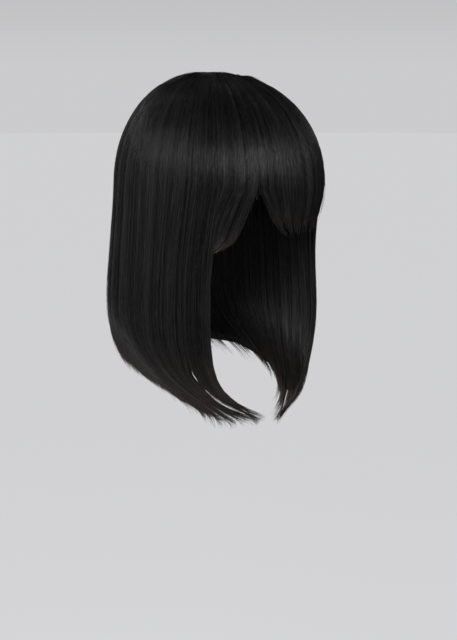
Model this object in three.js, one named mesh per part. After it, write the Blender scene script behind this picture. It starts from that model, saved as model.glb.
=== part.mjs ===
// Bob wig with a full fringe, in the form it has when worn: locks of hair fused side by side over a cap.
// Millimetres, +Z up, the face towards -Y and the wearer's left towards +X.
// The origin is the inside top of the cap, where the crown of the head touches it.
// A heading is counted in degrees from the front, positive towards the wearer's left.

import * as THREE from 'three';

// Sizes of the head that fills the cap
const HEAD_HALF_WIDTH = 77;
const HEAD_HALF_DEPTH = 97;
const HEAD_CROWN_HEIGHT = 88;

// Sizes of the cap
const CAP_WALL = 2;
const CAP_RIM_DEPTH = 140;
const NAPE_TAPER = 0.14;
const NAPE_TAPER_HEIGHT = 60;

// Sizes of the hair: how far it stands off the cap, and how far it hangs below its widest level
const VOLUME_AT_SIDES = 16;
const VOLUME_FRONT_AND_BACK = 24;
const VOLUME_ON_TOP = 16;
const FOOT_BELOW_HEAD_LEVEL = 8;
const HANGING_LENGTH = 246;
const FRINGE_LENGTH = 72;
const HAIR_DEPTH = 13;
const HAIR_HALF_WIDTH = HEAD_HALF_WIDTH + CAP_WALL + VOLUME_AT_SIDES;
const HAIR_HALF_DEPTH = HEAD_HALF_DEPTH + CAP_WALL + VOLUME_FRONT_AND_BACK;
const HAIR_TOP = CAP_WALL + VOLUME_ON_TOP;
const DOME_HEIGHT = HAIR_TOP + HEAD_CROWN_HEIGHT + FOOT_BELOW_HEAD_LEVEL;

// Shape of the dome: below 1 the power makes its shoulders fuller
const DOME_POWER = 0.91;
const WHORL_DIP = 3;
const WHORL_ANGLE = 7;

// Locks: ridges, and notches between their tips
const COLUMNS_PER_LOCK = 4;
const LOCK_RELIEF = 2.3;
const CREST_POWER = 0.8;
const CURTAIN_NOTCH = 13;
const FRINGE_NOTCH = 8;
const UNEVEN_TIPS = 4;
const WHORL_RELIEF = 0.5;
const WHORL_RIDGES = 5;
const WHORL_TWIST = 120;

// Headings where the face opens and where the fringe starts to run into the hanging hair
const FACE_EDGE = 48;
const TEMPLE = 30;
const FRONT_LOCK_EDGE = 63;
const BACK_EDGE = 112;

// Gaps between neighbours at their widest
const TEMPLE_PARTING = 2.6;
const FRONT_LOCK_PARTING = 4;
const BACK_PARTING = 1;

// The hanging hair thins towards the open face, over so many degrees
const EDGE_THINNING = 9;
const EDGE_DEPTH = 0.35;

// The sweep forwards and inwards at the ends, in degrees, from a share of the fall onwards
const SWEEP = 46;
const SWEEP_FROM = 0.472;

// Room between neighbours
const REST_ON_CAP = 1.1;
const SEAM = 0.34;

// The dome: how far its level sections move back, as a share of the hair's half depth
const CROWN = [
  { angle: 0, shift: -0.1 },
  { angle: 9, shift: -0.01 },
  { angle: 18, shift: 0.045 },
  { angle: 28, shift: 0.05 },
  { angle: 40, shift: 0.03 },
  { angle: 54, shift: 0.01 },
  { angle: 72, shift: 0 },
  { angle: 90, shift: 0 },
];

// The hanging hair: fall as a share of the hanging length, half extents as shares of the hair's half sizes
const CURTAIN = [
  { fall: 0, side: 1.0, front: 1.0, back: 1.0 },
  { fall: 0.098, side: 1.01, front: 0.9, back: 1.01 },
  { fall: 0.207, side: 1.03, front: 0.83, back: 1.03 },
  { fall: 0.35, side: 1.06, front: 0.82, back: 1.05 },
  { fall: 0.492, side: 1.08, front: 0.83, back: 1.065 },
  { fall: 0.602, side: 1.07, front: 0.83, back: 1.05 },
  { fall: 0.695, side: 1.02, front: 0.82, back: 1.0 },
  { fall: 0.776, side: 0.93, front: 0.8, back: 0.92 },
  { fall: 0.858, side: 0.81, front: 0.77, back: 0.82 },
  { fall: 0.939, side: 0.66, front: 0.67, back: 0.72 },
  { fall: 1.02, side: 0.52, front: 0.57, back: 0.62 },
];

// The fringe: fall as a share of the fringe's length, half extents as one share of both half sizes
const FRINGE = [
  { fall: 0, scale: 1.0 },
  { fall: 0.222, scale: 0.978 },
  { fall: 0.5, scale: 0.93 },
  { fall: 0.778, scale: 0.87 },
  { fall: 1, scale: 0.82 },
];

// How late the sweep comes, by heading from the front: the edges of the face hang straight for longest
const SWEEP_POWER = [
  { heading: 48, power: 8.5 },
  { heading: 63, power: 6.2 },
  { heading: 80, power: 4 },
  { heading: 100, power: 2.8 },
  { heading: 112, power: 2.4 },
  { heading: 180, power: 2 },
];

// Tips of the hanging hair by heading from the front, as a share of the hanging length
const CURTAIN_TIPS = [
  { heading: 47, fall: 0.946 },
  { heading: 58, fall: 0.952 },
  { heading: 70, fall: 0.96 },
  { heading: 84, fall: 0.965 },
  { heading: 96, fall: 0.962 },
  { heading: 110, fall: 0.922 },
  { heading: 125, fall: 0.86 },
  { heading: 140, fall: 0.798 },
  { heading: 160, fall: 0.772 },
  { heading: 180, fall: 0.768 },
];

// Tips of the fringe, with the gap over the wearer's right eye
const FRINGE_TIPS = [
  { heading: -48, fall: 1 },
  { heading: -41, fall: 0.851 },
  { heading: -34, fall: 0.597 },
  { heading: -29.5, fall: 0.242 },
  { heading: -27, fall: 0.097 },
  { heading: -24.5, fall: 0.153 },
  { heading: -20, fall: 0.417 },
  { heading: -10, fall: 0.667 },
  { heading: 0, fall: 0.736 },
  { heading: 15, fall: 0.736 },
  { heading: 30, fall: 0.667 },
  { heading: 40, fall: 0.597 },
  { heading: 48, fall: 0.583 },
];

// Depth of the hair inwards as a share of HAIR_DEPTH, along a strand from crown to tip; 4 reaches the cap
const CURTAIN_DEPTH = [
  { along: 0, depth: 4 },
  { along: 0.62, depth: 4 },
  { along: 0.75, depth: 1.9 },
  { along: 0.9, depth: 1.25 },
  { along: 1, depth: 1 },
  { along: 1.3, depth: 0.85 },
  { along: 1.6, depth: 0.7 },
  { along: 1.85, depth: 0.45 },
  { along: 2, depth: 0.17 },
];
const FRINGE_DEPTH = [
  { along: 0, depth: 4 },
  { along: 0.62, depth: 4 },
  { along: 0.75, depth: 1.9 },
  { along: 0.9, depth: 1.25 },
  { along: 1, depth: 1 },
  { along: 1.5, depth: 0.6 },
  { along: 2, depth: 0.17 },
];

// Where neighbouring pieces part further than a seam: width in millimetres, place along a strand
const PARTINGS = [
  { heading: FACE_EDGE, width: TEMPLE_PARTING, from: 1, over: 0.15 },
  { heading: FRONT_LOCK_EDGE, width: FRONT_LOCK_PARTING, from: 1.66, over: 0.34 },
  { heading: BACK_EDGE, width: BACK_PARTING, from: 1.66, over: 0.34 },
];

// Height of a lock's ridge as a share of the relief, along a strand from crown to tip
const RIDGE = [
  { along: 0, height: 0.1 },
  { along: 0.3, height: 0.45 },
  { along: 0.8, height: 0.9 },
  { along: 1.5, height: 1 },
  { along: 2, height: 0.7 },
];

// Rim of the cap, as a share of its depth under the inside top
const CAP_RIM = [
  { heading: 0, depth: 0.37 },
  { heading: 35, depth: 0.4 },
  { heading: 56, depth: 0.56 },
  { heading: 70, depth: 0.77 },
  { heading: 86, depth: 0.66 },
  { heading: 106, depth: 0.71 },
  { heading: 130, depth: 0.91 },
  { heading: 155, depth: 1 },
  { heading: 180, depth: 1 },
];

// Rows of a strand: polar angles of the dome, then shares of the way from the dome's foot to the tip
const DOME_ROWS = [9, 19, 31, 44, 57, 69, 80, 90];
const CURTAIN_ROWS = [0.13, 0.27, 0.41, 0.54, 0.66, 0.76, 0.84, 0.9, 0.95, 1];
const FRINGE_ROWS = [0.22, 0.45, 0.66, 0.85, 1];

// Headings of the valleys between locks, piece by piece
const HANGING_LOCKS = {
  front_lock_left: [FACE_EDGE, 55, FRONT_LOCK_EDGE],
  side_hair_left: [FRONT_LOCK_EDGE, 72, 83, 92, 101, BACK_EDGE],
  back_hair: [BACK_EDGE, 123, 133, 145, 156, 169, 180, 190, 203, 215, 226, 238, 360 - BACK_EDGE],
  side_hair_right: [360 - BACK_EDGE, 258, 267, 277, 288, 360 - FRONT_LOCK_EDGE],
  front_lock_right: [360 - FRONT_LOCK_EDGE, 304, 360 - FACE_EDGE],
};
const FRINGE_LOCKS = {
  fringe_right: [-FACE_EDGE, -41, -34, -27],
  fringe_middle: [-27, -18, -8, 3, 13],
  fringe_left: [13, 24, 36, FACE_EDGE],
};

const hair = new THREE.MeshStandardMaterial({ name: 'hair', color: 0x141313, roughness: 0.42, metalness: 0 });
const net = new THREE.MeshStandardMaterial({ name: 'net', color: 0x0b0b0c, roughness: 0.85, metalness: 0 });

const radians = THREE.MathUtils.degToRad;
const smooth = (x) => THREE.MathUtils.smoothstep(x, 0, 1);

// A smooth curve through one column of a table
function through(table, key, column, x) {
  const last = table.length - 1;
  let i = 0;
  while (i < last - 1 && x > table[i + 1][key]) i += 1;
  const slope = (k) => {
    const before = table[Math.max(k - 1, 0)];
    const after = table[Math.min(k + 1, last)];
    return (after[column] - before[column]) / (after[key] - before[key]);
  };
  const width = table[i + 1][key] - table[i][key];
  const t = THREE.MathUtils.clamp((x - table[i][key]) / width, 0, 1);
  return (
    (2 * t ** 3 - 3 * t ** 2 + 1) * table[i][column] +
    (t ** 3 - 2 * t ** 2 + t) * width * slope(i) +
    (3 * t ** 2 - 2 * t ** 3) * table[i + 1][column] +
    (t ** 3 - t ** 2) * width * slope(i + 1)
  );
}

// Straight lines through one column of a table
function between(table, key, column, x) {
  const last = table.length - 1;
  let i = 0;
  while (i < last - 1 && x > table[i + 1][key]) i += 1;
  const t = THREE.MathUtils.clamp((x - table[i][key]) / (table[i + 1][key] - table[i][key]), 0, 1);
  return THREE.MathUtils.lerp(table[i][column], table[i + 1][column], t);
}

// Heading as an angle from -180 to 180
function folded(heading) {
  return heading > 180 ? heading - 360 : heading;
}

// The hair's smooth dome, at a polar angle in degrees
function domePoint(heading, angle) {
  const a = radians(heading);
  const q = radians(angle);
  const reach = Math.sin(q) ** DOME_POWER;
  const shift = HAIR_HALF_DEPTH * through(CROWN, 'angle', 'shift', angle);
  return new THREE.Vector3(
    HAIR_HALF_WIDTH * reach * Math.sin(a),
    shift - HAIR_HALF_DEPTH * reach * Math.cos(a),
    HAIR_TOP - DOME_HEIGHT * (1 - Math.cos(q)) - WHORL_DIP * Math.exp(-((angle / WHORL_ANGLE) ** 2)),
  );
}

// Lengths of strands below the dome
function curtainLength(heading) {
  return HANGING_LENGTH * between(CURTAIN_TIPS, 'heading', 'fall', Math.abs(folded(heading)));
}

function fringeLength(heading) {
  return FRINGE_LENGTH * between(FRINGE_TIPS, 'heading', 'fall', heading);
}

// A point on the level section with given half extents, so far below the dome's foot
function sectionPoint(a, side, front, below) {
  return new THREE.Vector3(
    HAIR_HALF_WIDTH * side * Math.sin(a),
    -HAIR_HALF_DEPTH * front * Math.cos(a),
    HAIR_TOP - DOME_HEIGHT - below,
  );
}

// The hanging hair: it falls straight, then sweeps forwards and inwards under the chin
function curtainPoint(heading, below) {
  const fall = below / HANGING_LENGTH;
  const tip = curtainLength(heading) / HANGING_LENGTH;
  const power = between(SWEEP_POWER, 'heading', 'power', Math.abs(folded(heading)));
  const swept = Math.max((fall - SWEEP_FROM) / (tip - SWEEP_FROM), 0) ** power;
  const a = radians(heading - SWEEP * Math.sin(radians(heading)) * swept);
  const facing = Math.cos(a) > 0 ? 'front' : 'back';
  const side = through(CURTAIN, 'fall', 'side', fall);
  return sectionPoint(a, side, through(CURTAIN, 'fall', facing, fall), below);
}

// The fringe: it curves in to the forehead and runs into the hanging hair at the temples
function fringePoint(heading, below) {
  const fall = below / HANGING_LENGTH;
  const scale = through(FRINGE, 'fall', 'scale', below / FRINGE_LENGTH);
  const temple = smooth((Math.abs(heading) - TEMPLE) / (FACE_EDGE - TEMPLE));
  const side = THREE.MathUtils.lerp(scale, through(CURTAIN, 'fall', 'side', fall), temple);
  const front = THREE.MathUtils.lerp(scale, through(CURTAIN, 'fall', 'front', fall), temple);
  return sectionPoint(radians(heading), side, front, below);
}

// The hair's smooth surface at a share along a strand: 0 to 1 over the dome, 1 to 2 from its foot to the tip
function surfacePoint(kind, heading, along, length) {
  return along <= 1 ? domePoint(heading, 90 * along) : kind.point(heading, length * (along - 1));
}

function outwards(kind, heading, along, length) {
  const step = 0.01;
  const place = (h, s) => surfacePoint(kind, h, s, length);
  const across = place(heading + 1, along).sub(place(heading - 1, along));
  const down = place(heading, along + step).sub(place(heading, along - step));
  return across.cross(down).negate().normalize();
}

// How deep a strand may reach inwards from a point before it comes to the cap
function depthToCap(point, normal, wanted) {
  const room = CAP_WALL + REST_ON_CAP;
  const inside = (depth) => {
    const p = point.clone().addScaledVector(normal, -depth);
    const level = Math.max(p.z + HEAD_CROWN_HEIGHT, 0) / (HEAD_CROWN_HEIGHT + room);
    return Math.hypot(p.x / (HEAD_HALF_WIDTH + room), p.y / (HEAD_HALF_DEPTH + room), level) < 1;
  };
  if (point.z < -CAP_RIM_DEPTH || !inside(wanted)) return wanted;
  let clear = 0;
  let blocked = wanted;
  for (let halving = 0; halving < 40; halving += 1) {
    const middle = (clear + blocked) / 2;
    if (inside(middle)) blocked = middle;
    else clear = middle;
  }
  return clear;
}

// The faces of an outer and an inner grid of points, which all bodies here have
function gridBody(outer, inner, addEdges) {
  const rows = outer.length;
  const columns = outer[0].length;
  const points = [...outer.flat(), ...inner.flat()];
  const index = [];
  const at = (side, row, column) => (side * rows + row) * columns + column;
  const quad = (a, b, c, d) => index.push(a, b, c, a, c, d);
  for (let r = 0; r < rows - 1; r += 1) {
    for (let c = 0; c < columns - 1; c += 1) {
      quad(at(0, r, c), at(0, r + 1, c), at(0, r + 1, c + 1), at(0, r, c + 1));
      quad(at(1, r, c), at(1, r, c + 1), at(1, r + 1, c + 1), at(1, r + 1, c));
    }
  }
  for (let c = 0; c < columns - 1; c += 1) {
    quad(at(0, rows - 1, c), at(1, rows - 1, c), at(1, rows - 1, c + 1), at(0, rows - 1, c + 1));
  }
  addEdges(at, quad, rows, columns);
  const geometry = new THREE.BufferGeometry();
  geometry.setAttribute('position', new THREE.Float32BufferAttribute(points.flatMap((p) => p.toArray()), 3));
  geometry.setIndex(index);
  geometry.computeVertexNormals();
  return geometry;
}

// A body whose rows start at one point and whose last column is its first
function turnedBody(outer, inner) {
  return gridBody(outer, inner, () => {});
}

// A body with four edges
function stripBody(outer, inner) {
  return gridBody(outer, inner, (at, quad, rows, columns) => {
    const end = columns - 1;
    for (let r = 0; r < rows - 1; r += 1) {
      quad(at(0, r, 0), at(1, r, 0), at(1, r + 1, 0), at(0, r + 1, 0));
      quad(at(0, r, end), at(0, r + 1, end), at(1, r + 1, end), at(1, r, end));
    }
    for (let c = 0; c < end; c += 1) quad(at(0, 0, c), at(0, 0, c + 1), at(1, 0, c + 1), at(1, 0, c));
  });
}

const HANGING = {
  point: curtainPoint,
  length: curtainLength,
  depth: CURTAIN_DEPTH,
  rows: CURTAIN_ROWS,
  notch: CURTAIN_NOTCH,
};
const FRONT = {
  point: fringePoint,
  length: fringeLength,
  depth: FRINGE_DEPTH,
  rows: FRINGE_ROWS,
  notch: FRINGE_NOTCH,
};

// How much of the full depth the hanging hair keeps next to the open face
function edgeShare(kind, heading, along) {
  if (kind !== HANGING || along <= 1) return 1;
  const fromEdge = smooth((Math.abs(folded(heading)) - FACE_EDGE) / EDGE_THINNING);
  const open = smooth((along - 1) / 0.2);
  return THREE.MathUtils.lerp(1, THREE.MathUtils.lerp(EDGE_DEPTH, 1, fromEdge), open);
}

// Half the room that a piece leaves at its first and last column, in millimetres
function seamRoom(valley, along) {
  const parting = PARTINGS.find((each) => Math.abs(Math.abs(folded(valley)) - each.heading) < 0.1);
  const opened = parting ? parting.width * smooth((along - parting.from) / parting.over) : 0;
  return (SEAM + opened) / 2;
}

// A piece of hair: locks side by side, each with a ridge on the outside and a point at its tip
function locks(kind, valleys) {
  const columns = [];
  for (let k = 0; k < valleys.length - 1; k += 1) {
    const last = k === valleys.length - 2;
    for (let c = 0; c < COLUMNS_PER_LOCK + (last ? 1 : 0); c += 1) {
      const u = c / COLUMNS_PER_LOCK;
      const heading = THREE.MathUtils.lerp(valleys[k], valleys[k + 1], u);
      columns.push({ heading, crest: Math.sin(Math.PI * u) });
    }
  }
  const alongs = [...DOME_ROWS.map((angle) => angle / 90), ...kind.rows.map((share) => 1 + share)];
  const outer = [];
  const inner = [];
  for (const along of alongs) {
    const outerRow = [];
    const innerRow = [];
    for (const [c, column] of columns.entries()) {
      const crest = Math.max(column.crest, 0) ** CREST_POWER;
      const uneven = UNEVEN_TIPS * Math.sin(2.4 * column.heading);
      const full = kind.length(column.heading);
      const length = full - Math.min(kind.notch * (1 - crest) + uneven * crest, full / 2);
      let heading = column.heading;
      if (c === 0 || c === columns.length - 1) {
        const before = surfacePoint(kind, heading - 0.5, along, length);
        const degree = surfacePoint(kind, heading + 0.5, along, length).distanceTo(before);
        heading += ((c === 0 ? 1 : -1) * seamRoom(column.heading, along)) / degree;
      }
      const point = surfacePoint(kind, heading, along, length);
      const normal = outwards(kind, heading, along, length);
      const share = between(kind.depth, 'along', 'depth', along) * edgeShare(kind, column.heading, along);
      const depth = depthToCap(point, normal, HAIR_DEPTH * share);
      const ridge = LOCK_RELIEF * crest * between(RIDGE, 'along', 'height', along);
      outerRow.push(point.clone().addScaledVector(normal, ridge));
      innerRow.push(point.clone().addScaledVector(normal, -depth));
    }
    outer.push(outerRow);
    inner.push(innerRow);
  }
  return stripBody(outer, inner);
}

// A point of the head's own form, moved outwards by an offset; past 90 degrees it runs down to the nape
function headPoint(heading, angle, offset) {
  const a = radians(heading);
  const q = radians(Math.min(angle, 90));
  const below = Math.max(angle - 90, 0);
  const atBack = (1 - Math.cos(a)) / 2;
  const taper = 1 - NAPE_TAPER * atBack * smooth(below / NAPE_TAPER_HEIGHT);
  return new THREE.Vector3(
    (HEAD_HALF_WIDTH + offset) * Math.sin(q) * Math.sin(a) * taper,
    -(HEAD_HALF_DEPTH + offset) * Math.sin(q) * Math.cos(a) * taper,
    (HEAD_CROWN_HEIGHT + offset) * Math.cos(q) - HEAD_CROWN_HEIGHT - below,
  );
}

// The cap: a thin hollow shell, open below, with tabs before the ears and a deep nape
function cap() {
  const columns = 36;
  const rows = 10;
  const surface = (offset) => {
    const grid = [];
    for (let r = 0; r <= rows; r += 1) {
      const row = [];
      for (let c = 0; c <= columns; c += 1) {
        const heading = (360 * c) / columns;
        const rim = CAP_RIM_DEPTH * through(CAP_RIM, 'heading', 'depth', Math.abs(folded(heading)));
        const under = rim - HEAD_CROWN_HEIGHT;
        const last = under > 0 ? 90 + under : THREE.MathUtils.radToDeg(Math.acos(-under / HEAD_CROWN_HEIGHT));
        row.push(headPoint(heading % 360, (last * r) / rows, offset));
      }
      grid.push(row);
    }
    return grid;
  };
  return turnedBody(surface(CAP_WALL), surface(0));
}

// The whorl at the crown: a small disc of hair with curved ridges, sunk a little below the hair around it
function whorl() {
  const columns = 30;
  const rim = DOME_ROWS[0];
  const centre = domePoint(0, 0);
  const up = new THREE.Vector3(0, 0, 1);
  const outer = [];
  const inner = [];
  for (const share of [0, 0.35, 0.7, 1]) {
    const outerRow = [];
    const innerRow = [];
    for (let c = 0; c <= columns; c += 1) {
      const heading = (360 * (c % columns)) / columns;
      const normal = up.clone().lerp(outwards(HANGING, heading, rim / 90, HANGING_LENGTH), share).normalize();
      const point = domePoint(heading, rim * share);
      const foot = point.clone().addScaledVector(normal, -depthToCap(point, normal, HAIR_DEPTH * 4));
      const turn = radians(WHORL_RIDGES * heading + WHORL_TWIST * share);
      const ridge = WHORL_RELIEF * Math.sin(turn) * Math.sin(Math.PI * share);
      point.z += ridge;
      for (const p of [point, foot]) {
        const reach = Math.hypot(p.x - centre.x, p.y - centre.y);
        p.lerp(new THREE.Vector3(centre.x, centre.y, p.z), reach > 0 ? (SEAM * share) / reach : 0);
      }
      outerRow.push(point);
      innerRow.push(foot);
    }
    outer.push(outerRow);
    inner.push(innerRow);
  }
  return turnedBody(outer, inner);
}

const wig = new THREE.Group();
wig.name = 'bob_wig';

function add(name, geometry, material) {
  const mesh = new THREE.Mesh(geometry, material);
  mesh.name = name;
  wig.add(mesh);
}

add('cap', cap(), net);
add('crown_whorl', whorl(), hair);
for (const [name, valleys] of Object.entries(HANGING_LOCKS)) add(name, locks(HANGING, valleys), hair);
for (const [name, valleys] of Object.entries(FRINGE_LOCKS)) add(name, locks(FRONT, valleys), hair);

export default wig;
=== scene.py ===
"""Looks of a black bob wig with a full fringe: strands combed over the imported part, and a plain studio."""

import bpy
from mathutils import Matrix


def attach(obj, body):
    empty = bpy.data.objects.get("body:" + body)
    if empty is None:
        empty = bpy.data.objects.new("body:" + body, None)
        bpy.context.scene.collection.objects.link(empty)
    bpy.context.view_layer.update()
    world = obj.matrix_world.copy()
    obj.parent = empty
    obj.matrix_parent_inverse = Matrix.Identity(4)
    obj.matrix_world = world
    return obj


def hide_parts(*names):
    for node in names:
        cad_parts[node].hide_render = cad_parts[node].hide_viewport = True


bl_info = {
    "name": "Bob Wig",
    "version": (1, 0, 0),
    "blender": (4, 5, 0),
    "location": "View3D > Sidebar > Bob Wig",
    "description": "Combs the hair of a bob wig over its packed solids and sets up a plain studio",
    "category": "Object",
}

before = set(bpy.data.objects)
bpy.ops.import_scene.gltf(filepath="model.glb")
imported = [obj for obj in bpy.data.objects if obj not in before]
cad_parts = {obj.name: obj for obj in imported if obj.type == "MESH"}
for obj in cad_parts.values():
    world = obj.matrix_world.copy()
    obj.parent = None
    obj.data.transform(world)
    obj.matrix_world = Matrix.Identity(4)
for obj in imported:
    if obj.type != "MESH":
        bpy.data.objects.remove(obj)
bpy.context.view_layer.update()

import math
from types import SimpleNamespace

import bmesh
import bpy
import numpy as np
from bpy.props import FloatProperty, FloatVectorProperty, IntProperty, PointerProperty
from mathutils import Vector

MM = 0.001
BODY = "root"

# The photograph's frame, in pixels
PICTURE_WIDTH = 457
PICTURE_HEIGHT = 640

# Sizes of the hair, as in the solids
HAIR_HALF_WIDTH = 95 * MM
HAIR_HALF_DEPTH = 123 * MM
HAIR_TOP = 18 * MM
DOME_HEIGHT = 114 * MM
HANGING_LENGTH = 246 * MM
FRINGE_LENGTH = 72 * MM
DOME_POWER = 0.91
WHORL_DIP = 3 * MM
WHORL_ANGLE = 7
CROWN_DIP = 4 * MM
CROWN_DIP_HEADING = 40
CROWN_DIP_ANGLE = 10
CROWN_DIP_WIDTH = 6
LOCK_RELIEF = 2.3 * MM
CREST_POWER = 0.8
FACE_EDGE = 48
TEMPLE = 30
FRONT_LOCK_EDGE = 63
SWEEP = 46
SWEEP_FROM = 0.472
BACK_EDGE = 112

# The dome: how far its level sections move back, as a share of the half depth
CROWN = {
    "angle": (0, 9, 18, 28, 40, 54, 72, 90),
    "shift": (-0.1, -0.01, 0.045, 0.05, 0.03, 0.01, 0, 0),
}

# The hanging hair: half extents as shares of the hair's half sizes, along the fall
CURTAIN = {
    "fall": (0, 0.098, 0.207, 0.35, 0.492, 0.602, 0.695, 0.776, 0.858, 0.939, 1.02),
    "side": (1, 1.01, 1.03, 1.06, 1.08, 1.07, 1.02, 0.93, 0.81, 0.66, 0.52),
    "front": (1, 0.9, 0.83, 0.82, 0.83, 0.83, 0.82, 0.8, 0.77, 0.67, 0.57),
    "back": (1, 1.01, 1.03, 1.05, 1.065, 1.05, 1, 0.92, 0.82, 0.72, 0.62),
}

# The fringe: half extents as one share of both half sizes
FRINGE = {
    "fall": (0, 0.222, 0.5, 0.778, 1),
    "scale": (1, 0.978, 0.93, 0.87, 0.82),
}

# The strands before the wearer's left shoulder swing out a little, as a share of the half sizes
LEFT_FLARE = 0.045
FLARE_BACK = 0.7
FLARE_SPAN = {
    "grows": (0.68, 0.82),
    "shrinks": (0.88, 0.96),
    "from_heading": (40, 60),
    "to_heading": (80, 100),
}

# How late the sweep comes, by heading: the edges of the face hang straight for longest
SWEEP_POWER = {
    "heading": (48, 63, 80, 100, 112, 180),
    "power": (8.5, 6.2, 4, 2.8, 2.4, 2),
}

# Tips, by heading from the front
CURTAIN_TIPS = {
    "heading": (47, 58, 70, 84, 96, 110, 125, 140, 160, 180),
    "fall": (0.946, 0.952, 0.96, 0.965, 0.962, 0.922, 0.86, 0.798, 0.772, 0.768),
}
FRINGE_TIPS = {
    "heading": (-48, -41, -34, -29.5, -27, -24.5, -20, -10, 0, 15, 30, 40, 48),
    "fall": (1, 0.851, 0.597, 0.242, 0.097, 0.153, 0.417, 0.667, 0.736, 0.736, 0.667, 0.597, 0.583),
}

# The fringe parts over one eye: strands start on either side of it and sweep away from the gap
PARTING = -27
GAP_APEX = -28.4
GAP_EDGES = {
    "below": (0, 2 * MM, 8 * MM, 16 * MM, 24 * MM, 33 * MM, 42 * MM, 50 * MM, 58 * MM, 66 * MM, 74 * MM),
    "right": (0, 0.4, 1.8, 3.2, 4.5, 5.8, 7.1, 8.3, 10.3, 18, 25),
    "left": (0, 0.5, 2.3, 4.5, 7.2, 10.9, 16.7, 25.4, 34, 43, 50),
}
SWEPT_TIPS = {
    "heading": (-48, -38, -29, -28, -15, 0, 12, 25, 40, 48),
    "fall": (1.04, 0.99, 0.9, 0.56, 0.54, 0.56, 0.57, 0.56, 0.56, 0.58),
}

# How much further or less far than the solids the strands hang, by heading from the front
TIP_CHANGE = {
    "heading": (50, 58, 75, 90, 104, 112, 118, 124, 132, 145, 160, 180),
    "fall": (-0.001, 0.009, 0.014, 0.024, 0.046, 0.048, 0.03, 0.004, -0.018, -0.02, -0.008, 0),
}

# Depth of the hair from its surface inwards, along a strand from crown to tip
CURTAIN_DEPTH = {
    "along": (0, 1, 1.3, 1.6, 1.85, 2),
    "depth": (13 * MM, 13 * MM, 11 * MM, 9.1 * MM, 5.9 * MM, 2.2 * MM),
}
FRINGE_DEPTH = {
    "along": (0, 1, 1.5, 2),
    "depth": (13 * MM, 13 * MM, 7.8 * MM, 2.2 * MM),
}
EDGE_THINNING = 9
TIP_THINNING = 9
EDGE_DEPTH = 0.35
RIDGE = {
    "along": (0, 0.3, 0.8, 1.5, 2),
    "height": (0.1, 0.45, 0.9, 1, 0.7),
}
STRAND_RIDGE = 0.75 * LOCK_RELIEF

# Valleys between the locks, by heading, and how many outer and inner strands each piece gets
HANGING_PIECES = {
    "front_lock_left": ((FACE_EDGE, 55, FRONT_LOCK_EDGE), 480, 140),
    "side_hair_left": ((FRONT_LOCK_EDGE, 72, 83, 92, 101, BACK_EDGE), 1150, 420),
    "back_hair": (
        (BACK_EDGE, 123, 133, 145, 156, 169, 180, 190, 203, 215, 226, 238, 360 - BACK_EDGE), 1600, 800
    ),
    "side_hair_right": ((360 - BACK_EDGE, 258, 267, 277, 288, 360 - FRONT_LOCK_EDGE), 1750, 420),
    "front_lock_right": ((360 - FRONT_LOCK_EDGE, 304, 360 - FACE_EDGE), 800, 140),
}
FRINGE_PIECES = {
    "fringe_right": ((-FACE_EDGE, -41, -34, PARTING), 950, 140),
    "fringe_middle": ((PARTING, -18, -8, 3, 13), 1450, 220),
    "fringe_left": ((13, 24, 36, FACE_EDGE), 1150, 180),
}

# The slit beside a front lock: how many degrees the side hair draws back from it, by share of the fall
SLIT = {
    "share": (0.75, 0.79, 0.83, 0.865, 0.89, 0.925, 0.95, 0.975, 1, 1.02),
    "opened": (0, 2.2, 2.6, 1.1, 1.8, 7, 8.5, 5.5, -0.5, -4),
}
SLIT_FROM = 1.72
SLIT_THINNING = 6
FRONT_LOCK_SHARE = 0.22

# The whorl at the crown
WHORL_EDGE = 9
WHORL_TWIST = 120
WHORL_STRANDS = 520

WHORL_REACH = (10, 26)
WHORL_POINTS = 9
WHORL_CORE_TOP = 1.6 * MM
WHORL_CORE_FOOT = 12 * MM

STRAND_SIDES = 3

# Strands start a little past the edges of their piece, in degrees, and lie sunk in the solids' surface
PIECE_OVERLAP = 0.7
SUNK = 0.7 * MM
ROOT_DEPTH = 0.7 * MM

# Clumps: how unevenly high they lie, how far their middle bulges and how much they close at the tips
CLUMP_LIFT = 0.16 * MM
CLUMP_MOUND = 0.12 * MM
CLUMP_PINCH = (0.05, 0.45)

# Single strands that lie higher and paler than the rest, and loose ones that rise off the surface
PROUD_SHARE = 0.025
PROUD_TONE = 0.8
PROUD_RISE = 0.3 * MM
LOOSE_SHARE = 0.02
LOOSE_RISE = (0.5 * MM, 2.6 * MM)

# Share of the strands that reach past the rest and make the hem wispy, and how many clumps end together
WISPY_SHARE = 0.12
TUFT = 4

# Inner strands are more matt than the outer ones, whose tones run from 0 to 1, and paler: the paler colour
# is painted light on the hair's inside
INNER_LIGHT_AND_MATT = 0.6


class WigSettings(bpy.types.PropertyGroup):
    strand_width: FloatProperty(
        name="Strand Width",
        description="Width of a strand at its thickest",
        default=0.4 * MM,
        unit="LENGTH",
    )
    clump_width: FloatProperty(
        name="Clump Width",
        description="Width of the clumps that strands gather in",
        default=1.5 * MM,
        unit="LENGTH",
    )
    hair_colour: FloatVectorProperty(
        name="Hair",
        description="Colour of the hair",
        default=(0.0036, 0.0034, 0.0034),
        subtype="COLOR",
    )
    # The tips' colour: partly their own brown tinge, partly painted light showing through the thin ends
    tip_tint_and_light: FloatVectorProperty(
        name="Tips",
        description="Colour that the thin tips take on",
        default=(0.034, 0.0265, 0.0235),
        subtype="COLOR",
    )
    net_colour: FloatVectorProperty(
        name="Net",
        description="Colour of the cap",
        default=(0.008, 0.008, 0.009),
        subtype="COLOR",
    )
    backdrop_colour: FloatVectorProperty(
        name="Backdrop",
        description="Colour of the studio",
        default=(0.62, 0.62, 0.63),
        subtype="COLOR",
    )
    seed: IntProperty(name="Seed", description="Changes how the strands fall", default=7)


def smooth(x):
    x = np.clip(x, 0, 1)
    return x * x * (3 - 2 * x)


def rising(ends, x):
    """0 before the first end, 1 past the second, smooth between."""
    return smooth((x - ends[0]) / (ends[1] - ends[0]))


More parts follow.
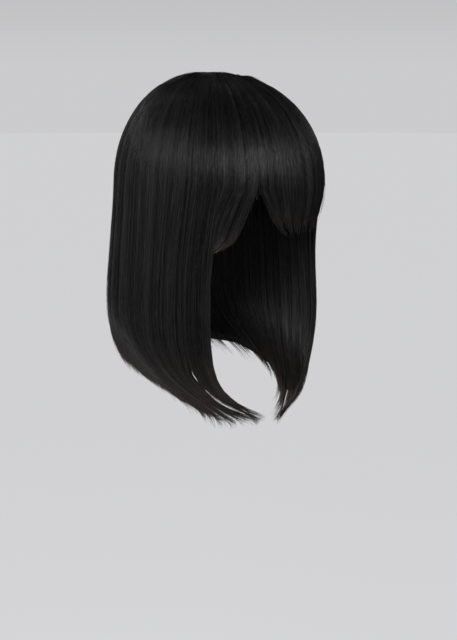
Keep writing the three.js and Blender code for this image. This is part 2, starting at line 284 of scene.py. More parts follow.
def through(table, key, column, x):
    """A smooth curve through one column of a table."""
    xs = np.array(table[key], float)
    ys = np.array(table[column], float)
    slopes = np.empty(len(xs))
    slopes[1:-1] = (ys[2:] - ys[:-2]) / (xs[2:] - xs[:-2])
    slopes[0] = (ys[1] - ys[0]) / (xs[1] - xs[0])
    slopes[-1] = (ys[-1] - ys[-2]) / (xs[-1] - xs[-2])
    i = np.clip(np.searchsorted(xs, x) - 1, 0, len(xs) - 2)
    width = xs[i + 1] - xs[i]
    t = np.clip((x - xs[i]) / width, 0, 1)
    return (
        (2 * t**3 - 3 * t**2 + 1) * ys[i]
        + (t**3 - 2 * t**2 + t) * width * slopes[i]
        + (3 * t**2 - 2 * t**3) * ys[i + 1]
        + (t**3 - t**2) * width * slopes[i + 1]
    )


def between(table, key, column, x):
    """Straight lines through one column of a table."""
    return np.interp(x, table[key], table[column])


def folded(heading):
    return np.where(heading > 180, heading - 360, heading)


def dome_point(heading, angle):
    a = np.radians(heading)
    q = np.radians(angle)
    reach = np.sin(q) ** DOME_POWER
    shift = HAIR_HALF_DEPTH * through(CROWN, "angle", "shift", angle)
    dip = WHORL_DIP * np.exp(-((angle / WHORL_ANGLE) ** 2))
    facing = np.clip(np.cos(np.radians(heading - CROWN_DIP_HEADING)), 0, 1) ** 2
    dip = dip + CROWN_DIP * facing * np.exp(-(((angle - CROWN_DIP_ANGLE) / CROWN_DIP_WIDTH) ** 2))
    x = HAIR_HALF_WIDTH * reach * np.sin(a)
    y = shift - HAIR_HALF_DEPTH * reach * np.cos(a)
    z = HAIR_TOP - DOME_HEIGHT * (1 - np.cos(q)) - dip
    return np.stack(np.broadcast_arrays(x, y, z), -1)


def section_point(a, side, front, below):
    x = HAIR_HALF_WIDTH * side * np.sin(a)
    y = -HAIR_HALF_DEPTH * front * np.cos(a)
    z = HAIR_TOP - DOME_HEIGHT - below
    return np.stack(np.broadcast_arrays(x, y, z), -1)


def curtain_length(heading):
    return HANGING_LENGTH * between(CURTAIN_TIPS, "heading", "fall", np.abs(folded(heading)))


def fringe_length(heading):
    return FRINGE_LENGTH * between(FRINGE_TIPS, "heading", "fall", heading)


def curtain_point(heading, below):
    """The hanging hair falls straight, then sweeps forwards and inwards under the chin."""
    fall = below / HANGING_LENGTH
    tip = curtain_length(heading) / HANGING_LENGTH
    power = between(SWEEP_POWER, "heading", "power", np.abs(folded(heading)))
    swept = np.clip((fall - SWEEP_FROM) / (tip - SWEEP_FROM), 0, 1.03) ** power
    a = np.radians(heading - SWEEP * np.sin(np.radians(heading)) * swept)
    front = through(CURTAIN, "fall", "front", fall)
    back = through(CURTAIN, "fall", "back", fall)
    side = through(CURTAIN, "fall", "side", fall)
    turn = folded(heading)
    on_left = rising(FLARE_SPAN["from_heading"], turn) * (1 - rising(FLARE_SPAN["to_heading"], turn))
    swing = rising(FLARE_SPAN["grows"], fall) - FLARE_BACK * rising(FLARE_SPAN["shrinks"], fall)
    flare = LEFT_FLARE * on_left * swing
    return section_point(a, side + flare, np.where(np.cos(a) > 0, front, back) + flare, below)


def fringe_point(heading, below):
    """The fringe curves in to the forehead and runs into the hanging hair at the temples."""
    fall = below / HANGING_LENGTH
    scale = through(FRINGE, "fall", "scale", below / FRINGE_LENGTH)
    temple = smooth((np.abs(heading) - TEMPLE) / (FACE_EDGE - TEMPLE))
    side = scale + (through(CURTAIN, "fall", "side", fall) - scale) * temple
    front = scale + (through(CURTAIN, "fall", "front", fall) - scale) * temple
    return section_point(np.radians(heading), side, front, below)


class Hanging:
    """Hair of the sides and the back, whose strands have most points at their curved ends."""

    point = staticmethod(curtain_point)
    length = staticmethod(curtain_length)
    depth = CURTAIN_DEPTH
    gather_from = 1.62
    core_end = 1.94
    uneven = 2 * MM
    bend = 0.6 * MM
    thinning = 5.5 * MM
    wisps = 6 * MM
    straying = 5
    outer_steps = 15
    inner_steps = 8
    inner_share = 1
    steps_gather = {"along": (0, 1, 1.5, 1.8, 2), "weight": (0, 1.3, 1.6, 2, 2.7)}

    @staticmethod
    def strand_length(heading):
        change = between(TIP_CHANGE, "heading", "fall", np.abs(folded(heading)))
        return curtain_length(heading) + HANGING_LENGTH * change

    @staticmethod
    def swept(heading, home, below):
        return heading


class Front:
    """Hair of the fringe, which sweeps aside from a gap."""

    point = staticmethod(fringe_point)
    length = staticmethod(fringe_length)
    depth = FRINGE_DEPTH
    gather_from = 1.35
    core_end = 1.3
    uneven = 1.4 * MM
    bend = 0.25 * MM
    thinning = 5.5 * MM
    wisps = 8 * MM
    straying = 1.5
    outer_steps = 12
    inner_steps = 6
    inner_share = 0.7
    steps_gather = {"along": (0, 1, 2), "weight": (0, 1.3, 2.4)}

    @staticmethod
    def strand_length(heading):
        return FRINGE_LENGTH * between(SWEPT_TIPS, "heading", "fall", heading)

    @staticmethod
    def swept(heading, home, below):
        """Headings of fringe strands as they sweep away from the gap on the way down."""
        right = through(GAP_EDGES, "below", "right", below)
        left = through(GAP_EDGES, "below", "left", below)
        near_right = 0.3 + 0.7 * np.clip(1 - (GAP_APEX - home) / (FACE_EDGE + GAP_APEX), 0, 1)
        near_left = np.exp(-np.clip(home - GAP_APEX, 0, None) / 24)
        to_right = np.minimum(heading, GAP_APEX) - right * near_right
        to_left = np.maximum(heading, GAP_APEX) + left * near_left
        return np.where(home < GAP_APEX, to_right, to_left)


def surface_point(kind, heading, along, length):
    """The hair's surface at a share along a strand: 0 to 1 over the dome, 1 to 2 below it."""
    on_dome = dome_point(heading, 90 * np.clip(along, 0.001, 1))
    hanging = kind.point(heading, length * np.clip(along - 1, 0, 1.05))
    return np.where((along <= 1)[..., None], on_dome, hanging)


def unit(v):
    return v / np.maximum(np.linalg.norm(v, axis=-1, keepdims=True), 1e-12)


def outwards(kind, heading, along, length):
    """Unit normals of the hair's surface."""
    step = 0.01
    left = surface_point(kind, heading + 1, along, length)
    right = surface_point(kind, heading - 1, along, length)
    above = surface_point(kind, heading, np.clip(along - step, 0.002, None), length)
    under = surface_point(kind, heading, along + step, length)
    return -unit(np.cross(left - right, under - above))


def girth(heading):
    """Length of girth for a degree of heading, at the dome's foot."""
    a = np.radians(heading)
    return np.radians(1) * np.hypot(HAIR_HALF_WIDTH * np.cos(a), HAIR_HALF_DEPTH * np.sin(a))


def lock_crest(valleys, heading):
    """How far a heading is up the ridge of its lock, and the heading of that lock's middle."""
    edges = np.array(valleys, float)
    k = np.clip(np.searchsorted(edges, heading) - 1, 0, len(edges) - 2)
    u = np.clip((heading - edges[k]) / (edges[k + 1] - edges[k]), 0, 1)
    return np.sin(np.pi * u) ** CREST_POWER, (edges[k] + edges[k + 1]) / 2


def parting(valleys, heading, below):
    """Headings pushed off the slit between a front lock and the hair beside it."""
    middle = folded((valleys[0] + valleys[-1]) / 2)
    share = 1 if abs(middle) > FRONT_LOCK_EDGE else -FRONT_LOCK_SHARE
    away = np.abs(np.abs(folded(heading)) - FRONT_LOCK_EDGE)
    opened = through(SLIT, "share", "opened", below / curtain_length(heading))
    return heading + np.sign(middle) * share * opened * np.exp(-away / 7)


def edge_share(kind, heading, along):
    """The hanging hair thins towards the open face and beside the slit."""
    if kind is not Hanging:
        return 1
    away = np.abs(folded(heading))
    reach = EDGE_THINNING + TIP_THINNING * smooth((along - 1.7) / 0.15)
    at_face = 1 - smooth((away - FACE_EDGE) / reach)
    at_slit = np.exp(-(((away - FRONT_LOCK_EDGE) / SLIT_THINNING) ** 2))
    thinned = at_face * smooth((along - 1) / 0.2) + at_slit * smooth((along - SLIT_FROM) / 0.2)
    return 1 - (1 - EDGE_DEPTH) * np.clip(thinned, 0, 1)


def depth_at(kind, heading, along):
    return between(kind.depth, "along", "depth", along) * edge_share(kind, heading, along)


def draw_strands(rng, kind, valleys, count, settings):
    """Headings of a piece's strands, and what each of them takes from its clump."""
    fine = np.linspace(valleys[0] - PIECE_OVERLAP, valleys[-1] + PIECE_OVERLAP, 400)
    arc = np.concatenate([[0], np.cumsum(girth(fine[1:]) * np.diff(fine))])
    place = np.sort(rng.uniform(0, arc[-1], count))
    clumps = max(int(arc[-1] / settings.clump_width), 2)
    evenly = np.arange(1, clumps) / clumps
    bounds = np.sort(0.6 * evenly + 0.4 * np.sort(rng.uniform(0, 1, clumps - 1))) * arc[-1]
    clump = np.searchsorted(bounds, place)
    ends = np.concatenate([[0], bounds, [arc[-1]]])
    within = (place - ends[clump]) / (ends[clump + 1] - ends[clump])

    lift = rng.normal(0, CLUMP_LIFT, clumps)[clump]
    tufts = rng.normal(0, kind.uneven, clumps // TUFT + 1)[clump // TUFT]
    late = tufts + rng.normal(0, 0.6 * kind.uneven, clumps)[clump]
    bend = rng.normal(0, kind.bend, clumps)[clump]
    phase = rng.uniform(0, 2 * np.pi, clumps)[clump]
    pinch = rng.uniform(*CLUMP_PINCH, clumps)[clump]
    proud = rng.uniform(0, 1, count) < PROUD_SHARE
    tone = rng.uniform(0, 1, clumps)[clump] * 0.6 + rng.uniform(0, 1, count) * 0.4
    return SimpleNamespace(
        heading=np.interp(place, arc, fine),
        clump_middle=np.interp((ends[clump] + ends[clump + 1]) / 2, arc, fine),
        lift=lift + CLUMP_MOUND * np.sin(np.pi * within) + PROUD_RISE * proud,
        late=np.clip(late, -2 * kind.uneven, 2 * kind.uneven),
        bend=bend,
        phase=phase,
        pinch=pinch,
        proud=proud,
        tone=tone + PROUD_TONE * proud,
    )


def strand_lengths(rng, kind, heading, late, inside):
    """Lengths below the dome: most strands end early, and a few reach past the rest."""
    count = len(heading)
    full = kind.inner_share * kind.length(heading) if inside else kind.strand_length(heading)
    early = rng.uniform(0.1, 2.4, count) * kind.thinning + rng.exponential(2.5 * MM, count)
    wisp = rng.uniform(-0.4, 1, count) * kind.wisps
    change = np.where(rng.uniform(0, 1, count) < WISPY_SHARE, wisp, -np.minimum(early, 0.4 * full))
    return full + late + change


def strand_steps(kind, start, steps):
    """Shares of the way to the tip, and where along the hair they lie, closest where it bends."""
    t = np.linspace(0, 1, steps + 1)[None, :]
    gather = kind.steps_gather
    first = between(gather, "along", "weight", start)[:, None]
    last = gather["weight"][-1]
    along = np.interp(first + (last - first) * t, gather["weight"], gather["along"])
    return t, np.maximum(along, start[:, None])


def comb(kind, valleys, count, inside, settings, seed):
    """Middle lines of a piece's strands, with normals, radii, tones and shares of the way to the tip."""
    rng = np.random.default_rng(settings.seed * 1000 + seed)
    drawn = draw_strands(rng, kind, valleys, count, settings)
    heading = drawn.heading
    if inside:
        # A higher tone makes the inner strands more matt and paler; the paler colour is painted light on the
        # inside
        tone = drawn.tone + INNER_LIGHT_AND_MATT
        start = rng.uniform(0.84, 1.02, count)
        layer = 1 - 0.5 * rng.uniform(0, 1, count) ** 3
        steps = kind.inner_steps
    else:
        tone = drawn.tone
        level = 0.1 + 0.9 * rng.uniform(0, 1, count) ** 1.5
        start = np.degrees(np.arcsin(level ** (1 / DOME_POWER))) / 90
        layer = 0.13 * rng.uniform(0, 1, count) ** 1.3
        steps = kind.outer_steps
    length = strand_lengths(rng, kind, heading, drawn.late, inside)
    t, along = strand_steps(kind, start, steps)

    gathered = smooth((along - kind.gather_from) / (2 - kind.gather_from)) ** 2 * drawn.pinch[:, None]
    crest, lock_middle = lock_crest(valleys, heading)
    h = heading[:, None] + (drawn.clump_middle - heading)[:, None] * gathered
    h = h + (lock_middle - drawn.clump_middle)[:, None] * 0.25 * smooth((along - 1.6) / 0.4)
    stray = (rng.normal(0, 0.5 * MM, count) * (1 + kind.straying * drawn.proud))[:, None]
    wave = np.sin(drawn.phase[:, None] + 3.1 * along) * drawn.bend[:, None]
    wave = wave * smooth((along - 0.3) / 1.4)
    h = h + (wave + stray * smooth((along - 0.5) / 1.5)) / girth(heading)[:, None]
    span = length[:, None]
    below = span * np.clip(along - 1, 0, None)
    depth = depth_at(kind, h, along) * layer[:, None]
    h = parting(valleys, h, below)
    if not inside:
        h = kind.swept(h, heading[:, None], below)

    normal = outwards(kind, h, along, span)
    point = surface_point(kind, h, along, span)
    ridge = STRAND_RIDGE * crest[:, None] * between(RIDGE, "along", "height", along)
    since = along - start[:, None]
    root = 0 if inside else ROOT_DEPTH * (1 - smooth(since / 0.4))
    loose = np.where(rng.uniform(0, 1, count) < LOOSE_SHARE, rng.uniform(*LOOSE_RISE, count), 0)
    rise = drawn.lift[:, None] * smooth((along - 0.2) / 1.2)
    rise = rise + loose[:, None] * smooth((along - 0.5) / 1.5)
    if not inside:
        depth = depth * (0.3 + 0.7 * smooth((along - 0.4) / 0.9))
    point = point + normal * (ridge + rise - depth - root - SUNK)[..., None]
    radius = settings.strand_width * rng.uniform(0.65, 1.1, count)[:, None] / 2
    radius = radius * (1 - 0.75 * smooth((t - 0.86) / 0.14)) * (0.4 + 0.6 * smooth(since / 0.08))
    return point, normal, radius, tone, np.clip(along - 1, 0, 1)


def comb_whorl(settings, seed):
    """Short strands that turn out of the whorl and lie down over the hair around it."""
    rng = np.random.default_rng(settings.seed * 1000 + seed)
    heading = np.sort(rng.uniform(0, 360, WHORL_STRANDS))
    start = rng.uniform(0.5, WHORL_EDGE, WHORL_STRANDS)
    end = start + rng.uniform(*WHORL_REACH, WHORL_STRANDS)
    t = np.linspace(0, 1, WHORL_POINTS)[None, :]
    angle = start[:, None] + (end - start)[:, None] * t
    turn = WHORL_TWIST * np.clip(1 - angle / (1.6 * WHORL_EDGE), 0, 1) ** 2
    h = heading[:, None] - turn
    along = angle / 90
    point = dome_point(h, angle)
    normal = outwards(Hanging, h, along, HANGING_LENGTH)
    settle = -0.2 * MM - 0.9 * MM * smooth((t - 0.55) / 0.45) - 0.8 * MM * (1 - smooth(t / 0.2))
    loose = rng.exponential(0.25 * MM, WHORL_STRANDS)[:, None] * np.sin(np.pi * t)
    point = point + normal * (settle + loose)[..., None]
    radius = settings.strand_width * rng.uniform(0.6, 1, WHORL_STRANDS)[:, None] / 2
    radius = radius * (1 - 0.8 * smooth((t - 0.6) / 0.4))
    tone = rng.uniform(0, 1, WHORL_STRANDS)
    return point, normal, radius, tone, np.zeros(angle.shape)


def strand_mesh(name, batches):
    """Closed three-sided strands along the lines of each batch, joined in one mesh."""
    total = sum(len(batch[0]) for batch in batches)
    vertices = []
    walls = []
    ends = []
    wall_uvs = []
    end_uvs = []
    tones = []
    tips = []
    base = 0
    strand = 0
    for lines, normals, radii, tone, tip in batches:
        count, points = lines.shape[:2]
        steps = points - 1
        tangent = unit(np.gradient(lines, axis=1))
        side = unit(np.cross(normals, tangent))
        up = np.cross(tangent, side)
        turn = 2 * np.pi * (np.arange(STRAND_SIDES) / STRAND_SIDES)
        ring = np.cos(turn)[:, None] * side[:, :, None, :] + np.sin(turn)[:, None] * up[:, :, None, :]
        corners = lines[:, :, None, :] + ring * radii[:, :, None, None]
        vertices.append(corners.reshape(-1, 3))

        first = base + np.arange(count)[:, None, None] * points * STRAND_SIDES
        row = np.arange(steps)[None, :, None] * STRAND_SIDES
        k = np.arange(STRAND_SIDES)[None, None, :]
        a = first + row + k
        b = first + row + (k + 1) % STRAND_SIDES
        walls.append(np.stack([a, b, b + STRAND_SIDES, a + STRAND_SIDES], -1).reshape(-1, 4))
        foot = first[:, 0, 0][:, None] + np.array([2, 1, 0])
        point = first[:, 0, 0][:, None] + steps * STRAND_SIDES + np.array([0, 1, 2])
        ends.append(np.stack([foot, point], 1).reshape(-1, 3))

        lane = ((strand + np.arange(count)) / total)[:, None, None, None]
        share = np.array([0, 1, 1, 0])[None, None, None, :]
        u = lane + (0.1 + 0.8 * (k[..., None] + share) / STRAND_SIDES) / total
        v = 0.01 + 0.98 * (np.arange(steps)[None, :, None, None] + np.array([0, 0, 1, 1])) / steps
        wall_uvs.append(np.stack(np.broadcast_arrays(u, v), -1).reshape(-1, 2))
        end_u = lane[..., 0] + np.array([0.2, 0.5, 0.8])[None, None, :] / total
        end_v = np.array([[0.001, 0.008, 0.001], [0.992, 0.999, 0.992]])[None]
        end_uvs.append(np.stack(np.broadcast_arrays(end_u, end_v), -1).reshape(-1, 2))
        tones.append(np.repeat(tone, points * STRAND_SIDES))
        tips.append(np.repeat(tip.ravel(), STRAND_SIDES))
        base += count * points * STRAND_SIDES
        strand += count

    mesh = bpy.data.meshes.new(name)
    faces = np.concatenate(walls).tolist() + np.concatenate(ends).tolist()
    mesh.from_pydata(np.concatenate(vertices).tolist(), [], faces)
    mesh.polygons.foreach_set("use_smooth", np.ones(len(mesh.polygons), bool))
    uvs = np.concatenate(wall_uvs + end_uvs).astype(np.float32)
    mesh.uv_layers.new(name="OFBake").data.foreach_set("uv", uvs.ravel())
    for label, values in (("tone", tones), ("tip", tips)):
        attribute = mesh.attributes.new(label, "FLOAT", "POINT")
        attribute.data.foreach_set("value", np.concatenate(values).astype(np.float32))
    mesh.update()
    return mesh


# The dense core lies under a cover of strands, down to a share of the hair's depth
CORE_COVER = 1.3 * MM
CORE_OUTSIDE = 0.17
CORE_THINNEST = 0.6
CORE_INSIDE = 0.84
CORE_COLUMNS = 8
CORE_ROWS = 30
CORE_OVERLAP = 0.02


def core_mesh(name, kind, valleys):
    """The closed mass between the outer and the inner strands, which ends short of the tips."""
    columns = CORE_COLUMNS * (len(valleys) - 1)
    form = bmesh.new()
    bmesh.ops.create_grid(form, x_segments=columns, y_segments=CORE_ROWS, size=1)
    grid = np.array([vertex.co[:2] for vertex in form.verts])
    heading = valleys[0] + (grid[:, 0] + 1) / 2 * (valleys[-1] - valleys[0])
    top = WHORL_EDGE / 90 - CORE_OVERLAP
    along = top + (1 - grid[:, 1]) / 2 * (kind.core_end - top)
    length = kind.length(heading)
    crest, _ = lock_crest(valleys, heading)
    depth = depth_at(kind, heading, along)
    heading = parting(valleys, heading, length * np.clip(along - 1, 0, None))
    normal = outwards(kind, heading, along, length)
    ridge = STRAND_RIDGE * crest * between(RIDGE, "along", "height", along)
    surface = surface_point(kind, heading, along, length)
    under = np.minimum(CORE_OUTSIDE * depth + CORE_COVER, CORE_THINNEST * depth)
    outer = surface + normal * (ridge - under)[:, None]
    inner = surface - normal * (CORE_INSIDE * depth)[:, None]
    number = form.verts.layers.int.new("number")
    for k, (vertex, at) in enumerate(zip(form.verts, outer)):
        vertex.co = at
        vertex[number] = k
    uv = form.loops.layers.uv.new("OFBake")
    for face in form.faces:
        for loop in face.loops:
            x, y = grid[loop.vert.index]
            loop[uv].uv = ((x + 3) / 4, (y + 1) / 2)
    extruded = bmesh.ops.extrude_face_region(form, geom=form.faces[:], use_keep_orig=True)
    moved = [each for each in extruded["geom"] if isinstance(each, bmesh.types.BMVert)]
    for vertex in moved:
        vertex.co = inner[vertex[number]]
    for face in [each for each in extruded["geom"] if isinstance(each, bmesh.types.BMFace)]:
        for loop in face.loops:
            loop[uv].uv.x -= 0.5
    bmesh.ops.recalc_face_normals(form, faces=form.faces)
    mesh = bpy.data.meshes.new(name)
    form.to_mesh(mesh)
    form.free()
    mesh.polygons.foreach_set("use_smooth", np.ones(len(mesh.polygons), bool))
    return mesh


def whorl_core_mesh(name):
    """The closed disc under the whorl's strands."""
    form = bmesh.new()
    bmesh.ops.create_cone(
        form, cap_ends=True, cap_tris=True, segments=48, radius1=1, radius2=1, depth=2
    )
    for vertex in form.verts:
        x, y, level = vertex.co
        heading = math.degrees(math.atan2(x, -y)) if math.hypot(x, y) > 0.5 else 0
        angle = WHORL_EDGE + 1 if math.hypot(x, y) > 0.5 else 0.5
        at = dome_point(np.array(heading), np.array(angle))
        vertex.co = (at[0], at[1], at[2] - (WHORL_CORE_TOP if level > 0 else WHORL_CORE_FOOT))
    mesh = bpy.data.meshes.new(name)
    form.to_mesh(mesh)
    form.free()
    return mesh


def place(name, mesh, material, slot):
    piece = bpy.data.objects.new(name, mesh)
    bpy.context.scene.collection.objects.link(piece)
    mesh.materials.append(material)
    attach(piece, BODY)
    return piece


class Socket:
    """A shader socket whose operators add Math nodes."""

    def __init__(self, tree, value):
        self.tree = tree
        self.value = value

    def maths(self, operation, other):
        made = node(self.tree, "ShaderNodeMath", {"operation": operation}, (self, other))
        return Socket(self.tree, made.outputs[0])

    def __add__(self, other):
        return self.maths("ADD", other)

    def __mul__(self, other):
        return self.maths("MULTIPLY", other)

    def __pow__(self, other):
        return self.maths("POWER", other)


def feed(tree, target, value):
    """Links a socket into another one, or sets a plain value there."""
    value = value.value if isinstance(value, Socket) else value
    if isinstance(value, bpy.types.NodeSocket):
        tree.links.new(value, target)
    else:
        target.default_value = value


def node(tree, kind, settings=None, inputs=()):
    """A node with its settings made first, then the values or links of its sockets."""
    made = tree.nodes.new(kind)
    for key, value in (settings or {}).items():
        setattr(made, key, value)
    pairs = inputs.items() if isinstance(inputs, dict) else enumerate(inputs)
    for key, value in pairs:
        feed(tree, made.inputs[key], value)
    return made


def new_material(name):
    material = bpy.data.materials.new(name)
    material.use_nodes = True
    material.node_tree.nodes.clear()
    return material, material.node_tree


def finish_material(tree, settings, inputs):
    shader = node(tree, "ShaderNodeBsdfPrincipled", settings, inputs)
    output = node(tree, "ShaderNodeOutputMaterial")
    tree.links.new(shader.outputs[0], output.inputs[0])


def mixed(tree, factor, first, second):
    """A colour between two others."""
    made = node(tree, "ShaderNodeMix", {"data_type": "RGBA"})
    for socket, value in (("Factor_Float", factor), ("A_Color", first), ("B_Color", second)):
        feed(tree, next(each for each in made.inputs if each.identifier == socket), value)
    return next(each for each in made.outputs if each.identifier == "Result_Color")


def shade(colour, share):
    """A colour made darker or lighter, with full alpha."""
    return (*[share * c for c in colour], 1)


def bumped(tree, height, strength, distance):
    """A normal that shows a height as relief."""
    inputs = {"Strength": strength, "Distance": distance, "Height": height}
    return node(tree, "ShaderNodeBump", {}, inputs).outputs[0]


def strand_finish(settings):
    """Black fibre with a soft sheen; where the tips thin out it turns browner and paler, partly the tips'
    own brown tinge and partly painted light showing through the thin ends.
    """
    material, tree = new_material("black_fibre")
    tone = Socket(tree, node(tree, "ShaderNodeAttribute", {"attribute_name": "tone"}).outputs["Fac"])
    tip = Socket(tree, node(tree, "ShaderNodeAttribute", {"attribute_name": "tip"}).outputs["Fac"])
    deep = shade(settings.hair_colour, 0.55)
    light = shade(settings.hair_colour, 1.7)
    body = mixed(tree, tone, deep, light)
    # Thin tips are mixed towards a paler brown: partly their own tinge, partly painted light shining through
    # them
    colour = mixed(tree, tip ** 8 * 0.8, body, (*settings.tip_tint_and_light, 1))
    inputs = {
        "Base Color": colour,
        "Roughness": tone * 0.16 + 0.25,
        "Specular IOR Level": tone * 0.16 + 0.08,
    }
    finish_material(tree, {}, inputs)
    return material


def core_finish(settings):
    """The same fibre as a dense mass, with fine streaks along it."""
    material, tree = new_material("dense_fibre")
    uv = node(tree, "ShaderNodeUVMap", {"uv_map": "OFBake"}).outputs[0]
    stretched = node(tree, "ShaderNodeMapping", {}, {"Vector": uv, "Scale": (260, 5, 1)}).outputs[0]
    noise = node(tree, "ShaderNodeTexNoise", {}, {"Vector": stretched, "Scale": 1.0, "Detail": 4.0})
    streak = Socket(tree, noise.outputs[0])
    deep = shade(settings.hair_colour, 0.4)
    light = shade(settings.hair_colour, 1.4)
    inputs = {
        "Base Color": mixed(tree, streak, deep, light),
        "Roughness": 0.5,
        "Specular IOR Level": 0.1,
        "Normal": bumped(tree, streak, 0.7, 0.5 * MM),
    }
    finish_material(tree, {}, inputs)
    return material


def whorl_finish(settings):
    """Dense fibre on the small disc at the crown, with a fine grain."""
    material, tree = new_material("crown_fibre")
    place_in_space = node(tree, "ShaderNodeTexCoord").outputs["Object"]
    noise = node(tree, "ShaderNodeTexNoise", {}, {"Vector": place_in_space, "Scale": 900.0, "Detail": 3.0})
    grain = Socket(tree, noise.outputs[0])
    deep = shade(settings.hair_colour, 0.4)
    light = shade(settings.hair_colour, 1.6)
    inputs = {
        "Base Color": mixed(tree, grain, deep, light),
        "Roughness": 0.65,
        "Specular IOR Level": 0.1,
        "Normal": bumped(tree, grain, 0.6, 0.4 * MM),
    }
    finish_material(tree, {}, inputs)
    return material


def net_finish(settings):
    """Matt black net: a fine square mesh with rows of stitching around the head."""
    material, tree = new_material("black_net")
    place_in_space = node(tree, "ShaderNodeTexCoord").outputs["Object"]
    wave = {"bands_direction": "Z"}
    rows = node(tree, "ShaderNodeTexWave", wave, {"Vector": place_in_space, "Scale": 40.0})
    cells = node(tree, "ShaderNodeTexVoronoi", {}, {"Vector": place_in_space, "Scale": 700.0})
    stitches = Socket(tree, rows.outputs["Fac"])
    mesh = Socket(tree, cells.outputs["Distance"])
    height = stitches * 0.7 + mesh * 0.6
    dark = shade(settings.net_colour, 0.5)
    light = shade(settings.net_colour, 2.2)
    inputs = {
        "Base Color": mixed(tree, height, dark, light),
        "Roughness": 0.85,
        "Normal": bumped(tree, height, 0.8, 0.6 * MM),
    }
    finish_material(tree, {}, inputs)
    return material


def comb_pieces(kind, pieces, settings, seed):
    fibre = bpy.data.materials.get("black_fibre") or strand_finish(settings)
    dense = bpy.data.materials.get("dense_fibre") or core_finish(settings)
    for k, (name, (valleys, outer, inner)) in enumerate(pieces.items()):
        core = place(name + "_core", core_mesh(name + "_core", kind, valleys), dense, "hair")
        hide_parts(name)
        batches = [
            comb(kind, valleys, outer, False, settings, seed + 2 * k),
            comb(kind, valleys, inner, True, settings, seed + 2 * k + 1),
        ]
        place(name + "_strands", strand_mesh(name + "_strands", batches), fibre, "hair")


class WIG_OT_hanging_hair(bpy.types.Operator):
    """Combs the hair of the sides and the back"""

    bl_idname = "wig.hanging_hair"
    bl_label = "Comb Hanging Hair"

    def execute(self, context):
        comb_pieces(Hanging, HANGING_PIECES, context.scene.wig, 10)
        return {"FINISHED"}


class WIG_OT_fringe(bpy.types.Operator):
    """Combs the fringe"""

    bl_idname = "wig.fringe"
    bl_label = "Comb Fringe"

    def execute(self, context):
        comb_pieces(Front, FRINGE_PIECES, context.scene.wig, 40)
        return {"FINISHED"}


class WIG_OT_whorl(bpy.types.Operator):
    """Turns short strands out of the crown"""

    bl_idname = "wig.whorl"
    bl_label = "Comb Whorl"

    def execute(self, context):
        settings = context.scene.wig
        core = place("whorl_core", whorl_core_mesh("whorl_core"), whorl_finish(settings), "hair")
        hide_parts("crown_whorl")
        fibre = bpy.data.materials.get("black_fibre") or strand_finish(settings)
        strands = strand_mesh("whorl_strands", [comb_whorl(settings, 70)])
        place("whorl_strands", strands, fibre, "hair")
        return {"FINISHED"}


class WIG_OT_cap(bpy.types.Operator):
    """Gives the cap its net"""

    bl_idname = "wig.cap"
    bl_label = "Finish Cap"

    def execute(self, context):
        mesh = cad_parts["cap"].data
        mesh.materials.clear()
        mesh.materials.append(net_finish(context.scene.wig))
        return {"FINISHED"}


# The camera: headings from the front, positive to the wearer's left
CAMERA_HEADING = -43
CAMERA_ELEVATION = 8
CAMERA_DISTANCE = 1900 * MM
MM_PER_PIXEL = 1.05
CROWN_ROW = 72
AXIS_COLUMN = 218
CROWN_ALLOWANCE = 1 * MM
SENSOR = 36
FLOOR_LEVEL = -1.5
FLOOR_RADIUS = 40


def direction(heading, elevation):
    """Unit vector from the wig towards a heading and an elevation."""
    a = math.radians(heading)
    e = math.radians(elevation)
    return Vector((math.sin(a) * math.cos(e), -math.cos(a) * math.cos(e), math.sin(e)))


def add_camera():
    data = bpy.data.cameras.new("camera")
    data.sensor_width = SENSOR
    data.lens = SENSOR * (CAMERA_DISTANCE / MM) / MM_PER_PIXEL / PICTURE_HEIGHT
    camera = bpy.data.objects.new("camera", data)
    bpy.context.scene.collection.objects.link(camera)
    a = math.radians(CAMERA_HEADING)
    right = Vector((math.cos(a), math.sin(a), 0))
    aim = right * (PICTURE_WIDTH / 2 - AXIS_COLUMN) * MM_PER_PIXEL * MM
    aim.z = HAIR_TOP - (PICTURE_HEIGHT / 2 - CROWN_ROW) * MM_PER_PIXEL * MM + CROWN_ALLOWANCE
    towards = direction(CAMERA_HEADING, CAMERA_ELEVATION)
    camera.location = aim + towards * CAMERA_DISTANCE
    camera.rotation_euler = (-towards).to_track_quat("-Z", "Y").to_euler()
    bpy.context.scene.camera = camera


# Each light: heading and elevation in degrees, distance and size in metres, and power in watts
LIGHTS = {
    "key": (-59, 21, 2.2, (0.9, 0.8), 76),
    "left": (-135, 21, 2.4, (0.7, 1), 7),
    "right": (30, 36, 2.4, (0.6, 0.6), 10),
    "fill": (-40, 0, 3.2, (1.6, 1.2), 5),
    "left rim": (-168, 32, 2.4, (0.9, 1.2), 4),
    "right rim": (95, 34, 2.4, (0.8, 0.8), 11),
}
LIT_LEVEL = -0.12


def add_light(name, heading, elevation, distance, size, power):
    data = bpy.data.lights.new(name, "AREA")
    data.shape = "RECTANGLE"
    data.size, data.size_y = size
    data.energy = power
    light = bpy.data.objects.new(name, data)
    bpy.context.scene.collection.objects.link(light)
    middle = Vector((0, 0, LIT_LEVEL))
    towards = direction(heading, elevation)
    light.location = middle + towards * distance
    light.rotation_euler = (-towards).to_track_quat("-Z", "Y").to_euler()


# The backdrop's brightness, as shares of its colour, by height from the horizon to the zenith
SKY = ((0, 0.965), (0.035, 0.87), (0.13, 0.8), (0.42, 0.04))


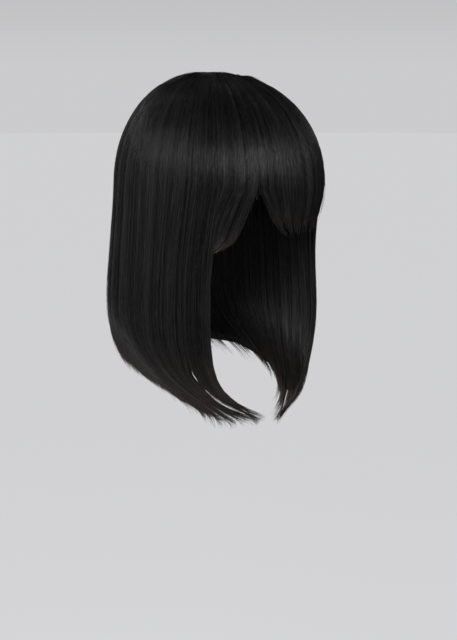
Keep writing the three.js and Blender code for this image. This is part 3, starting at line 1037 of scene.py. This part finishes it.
def add_world(settings):
    world = bpy.data.worlds.new("studio")
    bpy.context.scene.world = world
    world.use_nodes = True
    tree = world.node_tree
    tree.nodes.clear()
    up = node(tree, "ShaderNodeTexCoord").outputs["Generated"]
    height = node(tree, "ShaderNodeSeparateXYZ", {}, [up]).outputs["Z"]
    ramp = node(tree, "ShaderNodeValToRGB", {}, [height])
    pale = settings.backdrop_colour
    stops = ramp.color_ramp.elements
    for position, _ in SKY[1:-1]:
        stops.new(position)
    for stop, (position, share) in zip(stops, SKY):
        stop.position = position
        stop.color = shade(pale, share)
    background = node(tree, "ShaderNodeBackground", {}, {"Color": ramp.outputs[0], "Strength": 1.0})
    output = node(tree, "ShaderNodeOutputWorld")
    tree.links.new(background.outputs[0], output.inputs[0])


def add_floor(settings):
    form = bmesh.new()
    bmesh.ops.create_circle(form, cap_ends=True, segments=96, radius=FLOOR_RADIUS)
    bmesh.ops.translate(form, verts=form.verts, vec=(0, 0, FLOOR_LEVEL))
    mesh = bpy.data.meshes.new("floor")
    form.to_mesh(mesh)
    form.free()
    floor = bpy.data.objects.new("floor", mesh)
    bpy.context.scene.collection.objects.link(floor)
    material, tree = new_material("pale_floor")
    pale = settings.backdrop_colour
    inputs = {
        "Base Color": shade(pale, 0.3),
        "Roughness": 0.9,
        "Specular IOR Level": 0.0,
        "Emission Color": (*pale, 1),
        "Emission Strength": 1.0,
    }
    finish_material(tree, {}, inputs)
    mesh.materials.append(material)


class WIG_OT_stage(bpy.types.Operator):
    """Adds the camera, the lights and the pale studio"""

    bl_idname = "wig.stage"
    bl_label = "Set Up Studio"

    def execute(self, context):
        settings = context.scene.wig
        add_camera()
        add_world(settings)
        add_floor(settings)
        for name, values in LIGHTS.items():
            add_light(name, *values)
        context.scene.view_settings.view_transform = "Standard"
        return {"FINISHED"}


class WIG_PT_sidebar(bpy.types.Panel):
    """Lists the steps that make the wig"""

    bl_label = "Bob Wig"
    bl_idname = "WIG_PT_sidebar"
    bl_space_type = "VIEW_3D"
    bl_region_type = "UI"
    bl_category = "Bob Wig"

    def draw(self, context):
        for name in WigSettings.__annotations__:
            self.layout.prop(context.scene.wig, name)
        for step in STEPS:
            self.layout.operator(step.bl_idname)


STEPS = (WIG_OT_stage, WIG_OT_cap, WIG_OT_hanging_hair, WIG_OT_fringe, WIG_OT_whorl)
CLASSES = (WigSettings, *STEPS, WIG_PT_sidebar)


def register():
    for each in CLASSES:
        bpy.utils.register_class(each)
    bpy.types.Scene.wig = PointerProperty(type=WigSettings)


def unregister():
    del bpy.types.Scene.wig
    for each in reversed(CLASSES):
        bpy.utils.unregister_class(each)


def main():
    register()
    bpy.ops.wig.stage()
    bpy.ops.wig.cap()
    bpy.ops.wig.hanging_hair()
    bpy.ops.wig.fringe()
    bpy.ops.wig.whorl()


if __name__ == "__main__":
    main()
